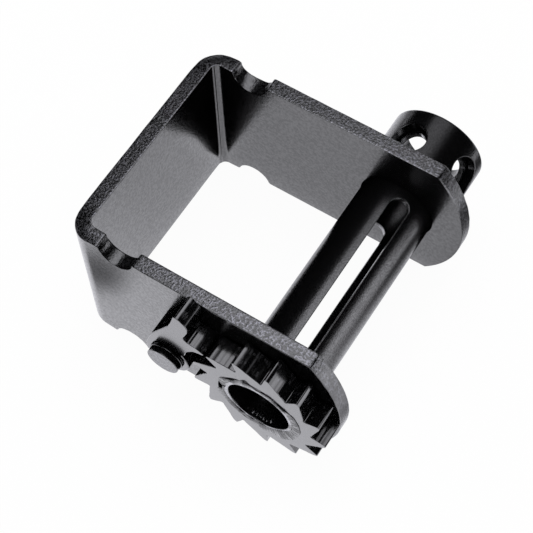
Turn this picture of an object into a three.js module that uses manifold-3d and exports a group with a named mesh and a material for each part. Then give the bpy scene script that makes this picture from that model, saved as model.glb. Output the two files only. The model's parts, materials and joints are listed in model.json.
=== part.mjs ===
// Sliding web winch: a bent plate bracket whose four edge notches slip onto a side rail, with a slotted strap
// drum across its legs, a ratchet wheel and pawl outside one leg and a bar head outside the other.
// Millimetres. The origin is the middle of the web's outer face. X runs along the drum, from the ratchet to the
// bar head, the legs reach towards -Y, and Z is the plate's width.
import * as THREE from "three";
import Module from "manifold-3d";

const wasm = await Module();
wasm.setup();

// Bracket: one flat bar bent twice.
const plateThickness = 8;
const plateWidth = 88.9;
const insideWidth = 108;
const bendInnerRadius = 4;
const legReach = 152.3;
const legEndRadius = 66;
const notchRadius = 9.6;
const notchDistance = 28.5;

// Drum tube with its strap slot.
const drumEndDistance = 37.5;
const tubeOuterRadius = 20.2;
const tubeWall = 2.9;
const slotWidth = 10.6;
const slotEndMargin = 5;
const slotDegrees = 109;

// Ratchet wheel.
const toothCount = 13;
const tipRadius = 37.4;
const toothDepth = 8.6;
const wheelThickness = 12.7;
const toothDegrees = 13.9;

// Bar head: a thick sleeve over the tube, cross-drilled for the winch bar.
const headWall = 5;
const headLength = 35.2;
const headEdge = 1.2;
const barHoleRadius = 10.1;
const barHoleDegrees = 66.6;

// Pawl, its pin, and the ring that keeps it on.
const pinRadius = 8.7;
const hubWall = 3.05;
const pinDistance = 51.6;
const pinProud = 4.3;
const pinEdge = 0.5;
const ringThickness = 1.1;
const ringBand = 1.4;
const ringDepth = 1;
const ringSplitDegrees = 40;

// Welds.
const weldWidth = 2.3;
const weldHeight = 0.9;
const weldRecess = 2;

// Clearances.
const weldGap = 0.2;
const turningGap = 0.45;
const tipGap = 0.4;
const noseGap = 0.2;
const cutMargin = 4;

// Angles measured about the drum or the pin, in the side view, from +Y towards +Z.
const fullTurn = 2 * Math.PI;
const radians = THREE.MathUtils.degToRad;
const pitch = fullTurn / toothCount;

const halfInside = insideWidth / 2;
const halfOutside = halfInside + plateThickness;
const halfPlate = plateWidth / 2;
const drumDistance = legReach - drumEndDistance;
const tubeInnerRadius = tubeOuterRadius - tubeWall;
const headInnerRadius = tubeOuterRadius + weldGap;
const headOuterRadius = headInnerRadius + headWall;
const wheelInnerX = -halfOutside - turningGap;
const wheelOuterX = wheelInnerX - wheelThickness;
const headInnerX = halfOutside + turningGap;
const headOuterX = headInnerX + headLength;
const tubeLowX = wheelOuterX + weldRecess;
const tubeHighX = headOuterX - weldRecess;
const drumCentre = { y: -drumDistance, z: 0 };
const pawlBoreRadius = pinRadius + turningGap;
const hubRadius = pawlBoreRadius + hubWall;
const pinCentre = { y: drumCentre.y + pinDistance, z: 0 };
const ringHighX = wheelOuterX - weldGap;

// One tooth, tip first: how far round the pitch each corner is, and how much of the tooth's depth it keeps.
const toothTurnShares = [0, 0.05, 0.12, 0.82, 0.88, 0.915, 0.94];
const toothDepthShares = [1, 0.99, 0.94, 0.1, 0.02, 0.03, 0.14];
// The valley that the pawl drops into, counted from the tip of the tooth under the pawl.
const valleyTurnShare = 0.9;

// The pawl as it sits in the teeth: underside and nose, then the throat over the next tooth's tip, then the tail.
// Distances are shares of the wheel's tip radius from the drum's axis, and turns are shares of the pitch past the
// valley that holds the nose.
const noseRadiusShares = [1.049, 1.028, 0.996, 0.924, 0.832, 0.806, 0.802, 0.82, 0.88];
const noseTurnShares = [-0.975, -0.74, -0.577, -0.288, -0.085, -0.055, -0.035, -0.015, -0.012];
const throatRadiusShares = [0.96, 1.068, 1.144];
const throatTurnShares = [-0.009, -0.056, -0.017];
const tailRadiusShares = [1.168, 1.195, 1.28, 1.4, 1.48, 1.495, 1.47, 1.43, 1.389];
const tailTurnShares = [0.277, 0.43, 0.61, 0.63, 0.61, 0.545, 0.47, 0.325, 0.054];
const shoulderRadiusShare = 1.546;
const shoulderTurnShare = -0.776;

const boreFacets = 48;
const tubeFacets = 72;
const bendFacets = 10;
const endFacets = 40;
const beadFacets = 8;
const tailSteps = 30;
const keySteps = 1e5;
const liftStepDegrees = 0.25;

const paint = {
  plate: { color: 0x17181a, roughness: 0.34, metalness: 0.25 },
  turned: { color: 0x141517, roughness: 0.3, metalness: 0.25 },
  teeth: { color: 0x191a1c, roughness: 0.38, metalness: 0.25 },
  weld: { color: 0x1c1d1f, roughness: 0.5, metalness: 0.25 },
  ring: { color: 0x202124, roughness: 0.4, metalness: 0.4 },
};

function polar(centre, radius, angle) {
  return { y: centre.y + radius * Math.cos(angle), z: centre.z + radius * Math.sin(angle) };
}

function arc(centre, radius, from, to, steps) {
  const points = [];
  for (let i = 0; i <= steps; i += 1) {
    points.push(polar(centre, radius, from + ((to - from) * i) / steps));
  }
  return points;
}

// A side-view outline of { y, z } points pushed along X.
function slab(points, fromX, toX) {
  const shape = new THREE.Shape(points.map((p) => new THREE.Vector2(p.y, p.z)));
  const geometry = new THREE.ExtrudeGeometry(shape, { depth: toX - fromX, bevelEnabled: false });
  // The sketch plane's x, y and depth become Y, Z and X.
  const turn = new THREE.Matrix4().makeBasis(
    new THREE.Vector3(0, 1, 0),
    new THREE.Vector3(0, 0, 1),
    new THREE.Vector3(1, 0, 0),
  );
  geometry.applyMatrix4(turn);
  geometry.translate(fromX, 0, 0);
  return solid(geometry);
}

// A half section of [x, radius] points turned about an axis along X.
function turned(section, centre, facets, startAngle = 0, sweep = fullTurn) {
  const rows = section.length;
  const closed = sweep === fullTurn;
  const columns = closed ? facets : facets + 1;
  const positions = [];
  for (let i = 0; i < columns; i += 1) {
    const angle = startAngle + (sweep * i) / facets;
    for (const [x, radius] of section) {
      const p = polar(centre, radius, angle);
      positions.push(x, p.y, p.z);
    }
  }
  const index = [];
  for (let i = 0; i < facets; i += 1) {
    const next = (i + 1) % columns;
    for (let j = 0; j < rows; j += 1) {
      const k = (j + 1) % rows;
      index.push(i * rows + j, next * rows + k, next * rows + j);
      index.push(i * rows + j, i * rows + k, next * rows + k);
    }
  }
  if (!closed) {
    const flat = section.map(([x, radius]) => new THREE.Vector2(x, radius));
    const last = (columns - 1) * rows;
    const clockwise = THREE.ShapeUtils.isClockWise(flat);
    for (const [a, b, c] of THREE.ShapeUtils.triangulateShape(flat, [])) {
      const [first, second] = clockwise ? [b, c] : [c, b];
      index.push(a, first, second);
      index.push(last + a, last + second, last + first);
    }
  }
  return body(positions, index);
}

function rod(radius, fromX, toX, centre, facets = boreFacets) {
  return slab(arc(centre, radius, 0, fullTurn - fullTurn / facets, facets - 1), fromX, toX);
}

// A round bore across the drum, through both walls, in the direction of an angle in the side view.
function crossBore(radius, x, angle, reach) {
  const geometry = new THREE.CylinderGeometry(radius, radius, 2 * reach, boreFacets);
  geometry.rotateX(angle);
  geometry.translate(x, drumCentre.y, drumCentre.z);
  return solid(geometry);
}

function body(positions, index) {
  const mesh = new wasm.Mesh({
    numProp: 3,
    vertProperties: new Float32Array(positions),
    triVerts: new Uint32Array(index),
  });
  const made = new wasm.Manifold(mesh);
  if (made.volume() > 0) {
    return made;
  }
  const flipped = [];
  for (let i = 0; i < index.length; i += 3) {
    flipped.push(index[i], index[i + 2], index[i + 1]);
  }
  return body(positions, flipped);
}

// Joins the doubled corners of a three.js geometry, so that it is one closed surface.
function solid(geometry) {
  const source = geometry.getAttribute("position");
  const order = geometry.index ? Array.from(geometry.index.array) : [...Array(source.count).keys()];
  const seen = new Map();
  const positions = [];
  const index = order.map((i) => {
    const corner = [source.getX(i), source.getY(i), source.getZ(i)];
    const key = corner.map((v) => Math.round(v * keySteps)).join(",");
    if (!seen.has(key)) {
      seen.set(key, positions.length / 3);
      positions.push(...corner);
    }
    return seen.get(key);
  });
  const kept = [];
  for (let i = 0; i < index.length; i += 3) {
    const [a, b, c] = index.slice(i, i + 3);
    if (a !== b && b !== c && c !== a) {
      kept.push(a, b, c);
    }
  }
  return body(positions, kept);
}

function meshOf(name, made, finish) {
  const { vertProperties, triVerts, numProp } = made.getMesh();
  const corners = new Float32Array((vertProperties.length / numProp) * 3);
  for (let i = 0; i < corners.length / 3; i += 1) {
    corners.set(vertProperties.subarray(i * numProp, i * numProp + 3), i * 3);
  }
  const geometry = new THREE.BufferGeometry();
  geometry.setAttribute("position", new THREE.BufferAttribute(corners, 3));
  geometry.setIndex(Array.from(triVerts));
  geometry.computeVertexNormals();
  const mesh = new THREE.Mesh(geometry, new THREE.MeshStandardMaterial(finish));
  mesh.name = name;
  return mesh;
}

// The bar seen from above: web, two bends and two legs, with the bends concentric inside and out.
function bentOutline() {
  const bend = bendInnerRadius + plateThickness;
  const outer = [];
  const inner = [];
  for (const side of [-1, 1]) {
    const centre = { y: side * (halfOutside - bend), z: -bend };
    for (let i = 0; i <= bendFacets; i += 1) {
      const share = side < 0 ? i / bendFacets : 1 - i / bendFacets;
      const angle = Math.PI / 2 - (side * (1 - share) * Math.PI) / 2;
      outer.push(polar(centre, bend, angle));
      inner.push(polar(centre, bendInnerRadius, angle));
    }
  }
  return [
    { y: -halfOutside, z: -legReach },
    ...outer,
    { y: halfOutside, z: -legReach },
    { y: halfInside, z: -legReach },
    ...inner.reverse(),
    { y: -halfInside, z: -legReach },
  ];
}

function frame() {
  const shape = new THREE.Shape(bentOutline().map((p) => new THREE.Vector2(p.y, p.z)));
  const geometry = new THREE.ExtrudeGeometry(shape, { depth: plateWidth, bevelEnabled: false });
  geometry.translate(0, 0, -halfPlate);
  let plate = solid(geometry);

  // The legs' ends are trimmed to one broad arc that meets the plate's edges at shallow corners.
  const endCentre = { y: legEndRadius - legReach, z: 0 };
  const cornerAngle = Math.PI - Math.asin(halfPlate / legEndRadius);
  const side = [
    { y: cutMargin, z: halfPlate + cutMargin },
    { y: endCentre.y + legEndRadius * Math.cos(cornerAngle), z: halfPlate + cutMargin },
    ...arc(endCentre, legEndRadius, cornerAngle, fullTurn - cornerAngle, endFacets),
    { y: endCentre.y + legEndRadius * Math.cos(cornerAngle), z: -halfPlate - cutMargin },
    { y: cutMargin, z: -halfPlate - cutMargin },
  ];
  plate = plate.intersect(slab(side, -halfOutside - cutMargin, halfOutside + cutMargin));

  // Half-round notches in both edges of both legs.
  for (const edge of [-halfPlate, halfPlate]) {
    const centre = { y: -notchDistance, z: edge };
    plate = plate.subtract(rod(notchRadius, -halfOutside - cutMargin, halfOutside + cutMargin, centre));
  }

  // The drum turns in one hole through both legs, and the pin sits in the ratchet side's leg.
  const drumHole = tubeOuterRadius + turningGap;
  plate = plate.subtract(rod(drumHole, -halfOutside - cutMargin, halfOutside + cutMargin, drumCentre, tubeFacets));
  plate = plate.subtract(rod(pinRadius + weldGap, -halfOutside - cutMargin, -halfInside + cutMargin, pinCentre));
  return plate;
}

function drumTube() {
  const section = [
    [tubeLowX, tubeInnerRadius],
    [tubeLowX, tubeOuterRadius],
    [tubeHighX, tubeOuterRadius],
    [tubeHighX, tubeInnerRadius],
  ];
  const slotReach = halfInside - slotEndMargin - slotWidth / 2;
  const slotEnd = slotWidth / 2;
  const outline = new THREE.Shape();
  outline.moveTo(-slotReach, -slotEnd);
  outline.lineTo(slotReach, -slotEnd);
  outline.absarc(slotReach, 0, slotEnd, -Math.PI / 2, Math.PI / 2, false);
  outline.lineTo(-slotReach, slotEnd);
  outline.absarc(-slotReach, 0, slotEnd, Math.PI / 2, (Math.PI * 3) / 2, false);
  const cut = new THREE.ExtrudeGeometry(outline, {
    depth: 2 * (tubeOuterRadius + cutMargin),
    bevelEnabled: false,
    curveSegments: bendFacets,
  });
  cut.translate(0, 0, -tubeOuterRadius - cutMargin);
  cut.rotateX(radians(slotDegrees) - Math.PI / 2);
  cut.translate(0, drumCentre.y, drumCentre.z);
  return barHoles(turned(section, drumCentre, tubeFacets).subtract(solid(cut)));
}

// Two bores at right angles, half way along the head, make its four bar holes.
function barHoles(made) {
  const middle = (headInnerX + headOuterX) / 2;
  const reach = headOuterRadius + cutMargin;
  let cut = made;
  for (const turn of [0, Math.PI / 2]) {
    cut = cut.subtract(crossBore(barHoleRadius, middle, radians(barHoleDegrees) + turn, reach));
  }
  return cut;
}

function barHead() {
  const section = [
    [headInnerX, headInnerRadius],
    [headInnerX, headOuterRadius - headEdge],
    [headInnerX + headEdge, headOuterRadius],
    [headOuterX - headEdge, headOuterRadius],
    [headOuterX, headOuterRadius - headEdge],
    [headOuterX, headInnerRadius + weldRecess],
    [headOuterX - weldRecess, headInnerRadius],
  ];
  return barHoles(turned(section, drumCentre, tubeFacets));
}

// Fills the groove between the tube's end and the head's bevelled mouth.
function headWeld() {
  const mouth = headOuterX - weldRecess + weldGap;
  const section = [
    [mouth, tubeInnerRadius],
    [mouth, tubeOuterRadius - weldGap],
    [headOuterX, tubeOuterRadius + weldRecess - weldGap],
    [headOuterX + weldGap, tubeOuterRadius],
    [headOuterX, tubeInnerRadius + weldGap],
  ];
  return turned(section, drumCentre, tubeFacets);
}

function wheelOutline() {
  const points = [];
  for (let i = 0; i < toothCount; i += 1) {
    toothTurnShares.forEach((share, corner) => {
      const radius = tipRadius - toothDepth * (1 - toothDepthShares[corner]);
      points.push(polar(drumCentre, radius, radians(toothDegrees) + (i + share) * pitch));
    });
  }
  return points;
}

function ratchetWheel() {
  const bore = rod(tubeOuterRadius + weldGap, wheelOuterX - cutMargin, wheelInnerX + cutMargin, drumCentre, tubeFacets);
  return slab(wheelOutline(), wheelOuterX, wheelInnerX).subtract(bore);
}

// A round-backed bead over the tube's end and onto the wheel's face.
function wheelWeld() {
  const foot = tubeLowX - weldGap;
  const face = wheelOuterX - weldGap;
  const middle = (tubeInnerRadius + tubeOuterRadius + weldWidth) / 2;
  const half = (tubeOuterRadius + weldWidth - tubeInnerRadius) / 2;
  const section = [
    [foot, tubeInnerRadius],
    [foot, tubeOuterRadius],
    [face, tubeOuterRadius],
  ];
  for (let i = 0; i <= beadFacets; i += 1) {
    const angle = (Math.PI * i) / beadFacets;
    section.push([face - weldHeight * Math.sin(angle), middle + half * Math.cos(angle)]);
  }
  return turned(section, drumCentre, tubeFacets);
}

// The pawl's side view with its nose in the teeth. The nose swings in past the next tooth's tip, so no part of it
// reaches further from the pin than that tip does.
function pawlOutline() {
  const valley = radians(toothDegrees) + valleyTurnShare * pitch;
  const nextTip = polar(drumCentre, tipRadius, radians(toothDegrees) + pitch);
  const noseReach = Math.hypot(nextTip.y - pinCentre.y, nextTip.z - pinCentre.z) - noseGap;
  const shorten = (p) => {
    const across = p.y - pinCentre.y;
    const up = p.z - pinCentre.z;
    const reach = Math.min(Math.hypot(across, up), noseReach);
    return polar(pinCentre, reach, Math.atan2(up, across));
  };
  const place = (radii, turns) =>
    radii.map((share, i) => polar(drumCentre, share * tipRadius, valley + turns[i] * pitch));
  const tail = place(tailRadiusShares, tailTurnShares);
  const curve = new THREE.CatmullRomCurve3(
    tail.map((p) => new THREE.Vector3(0, p.y, p.z)),
    false,
    "centripetal",
  );
  // Past the shoulder the tail's top edge runs on until it just touches the hub.
  const [root] = place([shoulderRadiusShare], [shoulderTurnShare]);
  const reach = Math.hypot(root.y - pinCentre.y, root.z - pinCentre.z);
  const rise = Math.atan2(root.z - pinCentre.z, root.y - pinCentre.y);
  const back = polar(pinCentre, hubRadius, rise - Math.acos(hubRadius / reach));
  return [
    ...place(noseRadiusShares, noseTurnShares).map(shorten),
    ...place(throatRadiusShares, throatTurnShares),
    ...curve.getPoints(tailSteps).map((p) => ({ y: p.y, z: p.z })),
    root,
    back,
    pinCentre,
  ];
}

// How far the pawl is lifted, from its seat in the teeth, for every corner of it to clear the turning tips.
function pawlLift() {
  const corners = pawlOutline();
  const clear = (angle) =>
    corners.every((p) => {
      const y = p.y - pinCentre.y;
      const z = p.z - pinCentre.z;
      const turnedY = pinCentre.y + y * Math.cos(angle) + z * Math.sin(angle);
      const turnedZ = pinCentre.z - y * Math.sin(angle) + z * Math.cos(angle);
      return Math.hypot(turnedY - drumCentre.y, turnedZ - drumCentre.z) > tipRadius + tipGap - turningGap / 10;
    });
  let angle = 0;
  while (!clear(angle)) {
    angle += radians(liftStepDegrees);
  }
  return angle;
}

function pawl() {
  const hub = rod(hubRadius, wheelOuterX, wheelInnerX, pinCentre);
  const bore = rod(pawlBoreRadius, wheelOuterX - cutMargin, wheelInnerX + cutMargin, pinCentre);
  const seated = slab(pawlOutline(), wheelOuterX, wheelInnerX).add(hub).subtract(bore);
  const lift = THREE.MathUtils.radToDeg(pawlLift());
  return seated
    .translate([0, -pinCentre.y, -pinCentre.z])
    .rotate([-lift, 0, 0])
    .translate([0, pinCentre.y, pinCentre.z]);
}

// The pin runs from just inside the leg's inner face to its cut end, with a groove for the ring.
function pawlPin() {
  const outerX = wheelOuterX - pinProud;
  const grooveHighX = ringHighX + weldGap;
  const grooveLowX = ringHighX - ringThickness - weldGap;
  const section = [
    [-halfInside - weldGap, 0],
    [-halfInside - weldGap, pinRadius],
    [grooveHighX, pinRadius],
    [grooveHighX, pinRadius - ringDepth],
    [grooveLowX, pinRadius - ringDepth],
    [grooveLowX, pinRadius],
    [outerX + pinEdge, pinRadius],
    [outerX, pinRadius - pinEdge],
    [outerX, 0],
  ];
  const axis = new THREE.LatheGeometry(
    section.map(([x, radius]) => new THREE.Vector2(radius, x)),
    boreFacets,
  );
  axis.applyMatrix4(
    new THREE.Matrix4().makeBasis(
      new THREE.Vector3(0, 1, 0),
      new THREE.Vector3(1, 0, 0),
      new THREE.Vector3(0, 0, 1),
    ),
  );
  axis.translate(0, pinCentre.y, pinCentre.z);
  return solid(axis);
}

// A split ring that sits in the pin's groove, with its mouth away from the wheel.
function pinRing() {
  const lowX = ringHighX - ringThickness;
  const inner = pinRadius - ringDepth + weldGap;
  const section = [
    [lowX, inner],
    [lowX, inner + ringBand],
    [ringHighX, inner + ringBand],
    [ringHighX, inner],
  ];
  const split = radians(ringSplitDegrees);
  return turned(section, pinCentre, boreFacets, -Math.PI / 2 + split / 2, fullTurn - split);
}

const winch = new THREE.Group();
winch.name = "sliding_winch";

const drum = new THREE.Group();
drum.name = "drum";
drum.add(meshOf("drum_tube", drumTube(), paint.turned));
drum.add(meshOf("ratchet_wheel", ratchetWheel(), paint.teeth));
drum.add(meshOf("wheel_weld", wheelWeld(), paint.weld));
drum.add(meshOf("bar_head", barHead(), paint.turned));
drum.add(meshOf("head_weld", headWeld(), paint.weld));

const bracket = new THREE.Group();
bracket.name = "bracket";
bracket.add(meshOf("frame", frame(), paint.plate));
bracket.add(meshOf("pawl_pin", pawlPin(), paint.turned));
bracket.add(meshOf("pin_ring", pinRing(), paint.ring));

winch.add(bracket, drum, meshOf("pawl", pawl(), paint.teeth));

export default winch;
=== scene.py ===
import json
import math
import bpy
import bmesh
import numpy as np
from mathutils import Matrix, Vector
from mathutils.geometry import delaunay_2d_cdt


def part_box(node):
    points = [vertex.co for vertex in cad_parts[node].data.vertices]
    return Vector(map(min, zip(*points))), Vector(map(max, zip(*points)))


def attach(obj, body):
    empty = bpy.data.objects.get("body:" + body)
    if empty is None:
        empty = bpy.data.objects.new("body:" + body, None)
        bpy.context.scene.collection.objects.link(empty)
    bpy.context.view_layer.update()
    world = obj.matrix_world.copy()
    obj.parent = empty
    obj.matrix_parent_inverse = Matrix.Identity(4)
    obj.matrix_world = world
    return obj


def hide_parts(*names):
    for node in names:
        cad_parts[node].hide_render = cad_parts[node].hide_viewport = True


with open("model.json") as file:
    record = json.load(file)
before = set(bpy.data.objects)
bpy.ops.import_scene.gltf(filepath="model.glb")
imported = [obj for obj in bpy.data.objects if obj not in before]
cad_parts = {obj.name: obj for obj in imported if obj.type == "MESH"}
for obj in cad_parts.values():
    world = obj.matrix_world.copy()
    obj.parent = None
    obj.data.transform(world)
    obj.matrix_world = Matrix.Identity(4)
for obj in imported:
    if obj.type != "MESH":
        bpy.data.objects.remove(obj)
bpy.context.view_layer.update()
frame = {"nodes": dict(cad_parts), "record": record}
mm = 0.001
fullTurn = 2 * math.pi
print("frame loaded:", len(frame["nodes"]), "nodes")


# Sizes that come from the frame.
def boxOf(node):
    low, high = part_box(node)
    return np.array(low), np.array(high)


plateLow, plateHigh = boxOf("frame")
tubeLow, tubeHigh = boxOf("drum_tube")
headLow, headHigh = boxOf("bar_head")
wheelLow, wheelHigh = boxOf("ratchet_wheel")
pinLow, pinHigh = boxOf("pawl_pin")
ringLow, ringHigh = boxOf("pin_ring")
drumAxis = (tubeLow + tubeHigh)[1:] / 2  # y and z of the drum's axis
pinAxis = (pinLow + pinHigh)[1:] / 2


# The photograph's camera, solved from the bracket's straight edges and the drum's ellipses.
photoCamera = {
    "azimuth": -55.347,  # degrees, 0 looks along +Y
    "elevation": 61.764,
    "roll": 2.478,
    "originRight": -60.57 * mm,  # where the part's origin lies from the line of sight
    "originDown": -43.28 * mm,
    "distance": 762.5 * mm,
    "lens": 100.907,  # on a 36 mm wide frame
}


def addCamera(spec):
    azimuth, elevation, roll = (math.radians(spec[k]) for k in ("azimuth", "elevation", "roll"))
    back = Vector((
        math.sin(azimuth) * math.cos(elevation),
        -math.cos(azimuth) * math.cos(elevation),
        math.sin(elevation),
    ))
    level = (-back).cross(Vector((0, 0, 1))).normalized()
    plumb = (-back).cross(level)
    right = math.cos(roll) * level + math.sin(roll) * plumb
    down = math.cos(roll) * plumb - math.sin(roll) * level
    eye = back * spec["distance"] - right * spec["originRight"] - down * spec["originDown"]
    data = bpy.data.cameras.new("photoCamera")
    data.lens = spec["lens"]
    data.sensor_width = 36
    camera = bpy.data.objects.new("photoCamera", data)
    turn = Matrix((right, -down, back)).transposed().to_4x4()
    camera.matrix_world = Matrix.Translation(eye) @ turn
    bpy.context.scene.collection.objects.link(camera)
    bpy.context.scene.camera = camera


addCamera(photoCamera)
print("camera placed")


# Node and colour helpers.
def colour(hexCode):
    values = [int(hexCode[i:i + 2], 16) / 255 for i in (1, 3, 5)]
    linear = [v / 12.92 if v <= 0.04045 else ((v + 0.055) / 1.055) ** 2.4 for v in values]
    return (*linear, 1)


def addNode(tree, kind, settings=None, inputs=None):
    node = tree.nodes.new(kind)
    for key, value in (settings or {}).items():
        setattr(node, key, value)
    for key, value in (inputs or {}).items():
        if isinstance(value, bpy.types.NodeSocket):
            tree.links.new(value, node.inputs[key])
        else:
            node.inputs[key].default_value = value
    return node


# Studio: a white floor, a soft lamp overhead and a world that is white to the camera. Gloss sees a dark room
# with one soft card overhead, one low on the drum's side, and the white floor with painted shade in soft
# patches on it.
studio = {
    "floorHalf": 3.0,
    "floorGap": 0.2 * mm,
    "floorColour": "#f6f6f7",
    "skyLevel": 0.62,  # on diffuse surfaces
    "lampPower": 7.0,
    "lampSize": 0.9,
    "lampPlace": (0.25, 0.1, 1.2),
    "roomLevel": 0.003,  # what gloss sees beyond the cards
    "glossTint": (1, 1, 1.06, 1),
    "floorGlow": 0.96,  # share of the floor that the camera sees as plain white
    "floorGloss": 0.93,  # what gloss sees of the open floor
    "paintedInsideShade": 0.3,  # painted shade: share of it lost between the legs
    "insideBlur": 16 * mm,
    "paintedShades": (  # painted shade, each an ellipse: middle x and y, half widths, depth
        (0.0, -0.104, 0.05, 0.028, 0.97),  # painted shadow under the drum
        (0.13, -0.205, 0.2, 0.085, 0.93),  # painted shade beside the drum
        (-0.086, 0.010, 0.015, 0.026, 0.9),  # painted shade, seen mirrored in the ratchet side's leg, near its bend
        (0.40, 0.34, 0.40, 0.52, 0.9),  # painted shade, seen mirrored in the bar head
        (-0.035, -0.176, 0.034, 0.032, 0.65),  # painted shade, seen mirrored in the end of the ratchet side's leg
    ),
}
overheadCard = {
    "middle": (0.0, 0.0, 0.35),
    "half": (0.40, 0.55),
    "right": (1, 0, 0),
    "up": (0, 1, 0),
    "level": 1.4,
    "fades": (  # axis, place where the light has gone, place where it is full, share that goes
        (0, 0.22, 0.14, 0.7),
        (0, -0.38, -0.30, 1),
        (1, 0.076, 0.046, 1),
        (1, -0.30, -0.10, 1),
    ),
}
sideCard = {
    "middle": (0.0, -0.40, 0.075),
    "half": (0.30, 0.119),
    "right": (1, 0, 0),
    "up": (0, 0, 1),
    "level": 1.45,
    "fades": (
        (0, 0.19, 0.14, 1),
        (0, -0.28, -0.20, 1),
        (2, 0.10, 0.02, 1),
    ),
}


def faded(tree, level, value, gone, full, depth=1.0):
    # the level times a smooth step in value, from 1 - depth at gone to 1 at full
    share = addNode(tree, "ShaderNodeMapRange", {"interpolation_type": "SMOOTHSTEP"}, {
        "Value": value, "From Min": gone, "From Max": full, "To Min": 1.0 - depth, "To Max": 1.0,
    }).outputs["Result"]
    return addNode(tree, "ShaderNodeMath", {"operation": "MULTIPLY"}, {0: level, 1: share}).outputs[0]


def addPanel(name, middle, right, up, half, material):
    middle, right, up = Vector(middle), Vector(right) * half[0], Vector(up) * half[1]
    corners = [middle - right - up, middle + right - up, middle + right + up, middle - right + up]
    mesh = bpy.data.meshes.new(name)
    mesh.from_pydata(corners, [], [(0, 1, 2, 3)])
    mesh.materials.append(material)
    panel = bpy.data.objects.new(name, mesh)
    bpy.context.scene.collection.objects.link(panel)
    return panel


def newMaterial(name):
    material = bpy.data.materials.new(name)
    material.use_nodes = True
    material.node_tree.nodes.clear()
    return material, material.node_tree


def buildWorld(spec):
    world = bpy.data.worlds.new("studio")
    bpy.context.scene.world = world
    world.use_nodes = True
    tree = world.node_tree
    tree.nodes.clear()
    path = addNode(tree, "ShaderNodeLightPath").outputs
    white = colour("#ffffff")
    sky, room, backdrop = (
        addNode(tree, "ShaderNodeBackground", None, {"Color": white, "Strength": level}).outputs[0]
        for level in (spec["skyLevel"], spec["roomLevel"], 1.0)
    )
    lit = addNode(tree, "ShaderNodeMixShader", None, {0: path["Is Glossy Ray"], 1: sky, 2: room})
    shown = addNode(tree, "ShaderNodeMixShader", None, {
        0: path["Is Camera Ray"], 1: lit.outputs[0], 2: backdrop,
    })
    addNode(tree, "ShaderNodeOutputWorld", None, {"Surface": shown.outputs[0]})


def firstBounce(tree, level):
    # Only a first reflection sees it: black enamel cuts nearly all the light at the second one, and cutting
    # the rest paints shade where the enamel mirrors itself, in the bracket's creases and between the parts.
    depth = addNode(tree, "ShaderNodeLightPath").outputs["Glossy Depth"]
    first = addNode(tree, "ShaderNodeMath", {"operation": "LESS_THAN"}, {0: depth, 1: 1.5}).outputs[0]
    return addNode(tree, "ShaderNodeMath", {"operation": "MULTIPLY"}, {0: first, 1: level}).outputs[0]


def addCard(name, spec):
    material, tree = newMaterial(name)
    place = addNode(tree, "ShaderNodeNewGeometry").outputs["Position"]
    axes = addNode(tree, "ShaderNodeSeparateXYZ", None, {0: place}).outputs
    level = firstBounce(tree, spec["level"])
    for axis, gone, full, depth in spec["fades"]:
        level = faded(tree, level, axes[axis], gone, full, depth)
    glow = addNode(tree, "ShaderNodeEmission", None, {"Color": studio["glossTint"], "Strength": level})
    addNode(tree, "ShaderNodeOutputMaterial", None, {"Surface": glow.outputs[0]})
    card = addPanel(name, spec["middle"], spec["right"], spec["up"], spec["half"], material)
    card.visible_camera = card.visible_diffuse = card.visible_shadow = card.visible_transmission = False


def floorLevel(tree, spec):
    # What gloss sees of the floor, with painted shade: less in a soft rectangle between the legs, and less
    # again in each ellipse, where away is 1 along the outline and the darkest part reaches a quarter of the
    # way out.
    place = addNode(tree, "ShaderNodeNewGeometry").outputs["Position"]
    axes = addNode(tree, "ShaderNodeSeparateXYZ", None, {0: place}).outputs
    blur = spec["insideBlur"]
    inside = 1.0
    for axis, gone, full in (
        (0, plateLow[0], plateHigh[0] / 2),
        (0, plateHigh[0], plateHigh[0] - blur),
        (1, plateHigh[1], plateHigh[1] - blur),
        (1, plateLow[1] - blur, plateLow[1]),
    ):
        inside = faded(tree, inside, axes[axis], gone, full)
    level = addNode(tree, "ShaderNodeMath", {"operation": "MULTIPLY_ADD"}, {
        0: inside, 1: -spec["paintedInsideShade"] * spec["floorGloss"], 2: spec["floorGloss"],
    }).outputs[0]
    level = firstBounce(tree, level)
    for middleX, middleY, halfX, halfY, depth in spec["paintedShades"]:
        scaled = addNode(tree, "ShaderNodeMapping", None, {
            "Vector": place,
            "Scale": (1 / halfX, 1 / halfY, 0),
            "Location": (-middleX / halfX, -middleY / halfY, 0),
        }).outputs[0]
        away = addNode(tree, "ShaderNodeVectorMath", {"operation": "LENGTH"}, {0: scaled}).outputs["Value"]
        level = faded(tree, level, away, 0.25, 1.0, depth)
    return level


def buildFloor(spec):
    material, tree = newMaterial("white paper with painted shade")
    path = addNode(tree, "ShaderNodeLightPath").outputs
    paper = addNode(tree, "ShaderNodeBsdfDiffuse", None, {"Color": colour(spec["floorColour"])})
    white = addNode(tree, "ShaderNodeEmission", None, {"Color": colour("#ffffff"), "Strength": 1.0})
    # the floor as gloss sees it, darkened by painted shade
    level = floorLevel(tree, spec)
    glow = addNode(tree, "ShaderNodeEmission", None, {"Color": spec["glossTint"], "Strength": level})
    toCamera = addNode(tree, "ShaderNodeMath", {"operation": "MULTIPLY"}, {
        0: path["Is Camera Ray"], 1: spec["floorGlow"],
    }).outputs[0]
    shown = addNode(tree, "ShaderNodeMixShader", None, {
        0: toCamera, 1: paper.outputs[0], 2: white.outputs[0],
    })
    final = addNode(tree, "ShaderNodeMixShader", None, {
        0: path["Is Glossy Ray"], 1: shown.outputs[0], 2: glow.outputs[0],
    })
    addNode(tree, "ShaderNodeOutputMaterial", None, {"Surface": final.outputs[0]})
    half = spec["floorHalf"]
    addPanel("floor", (0, 0, plateLow[2] - spec["floorGap"]), (1, 0, 0), (0, 1, 0), (half, half), material)


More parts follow.
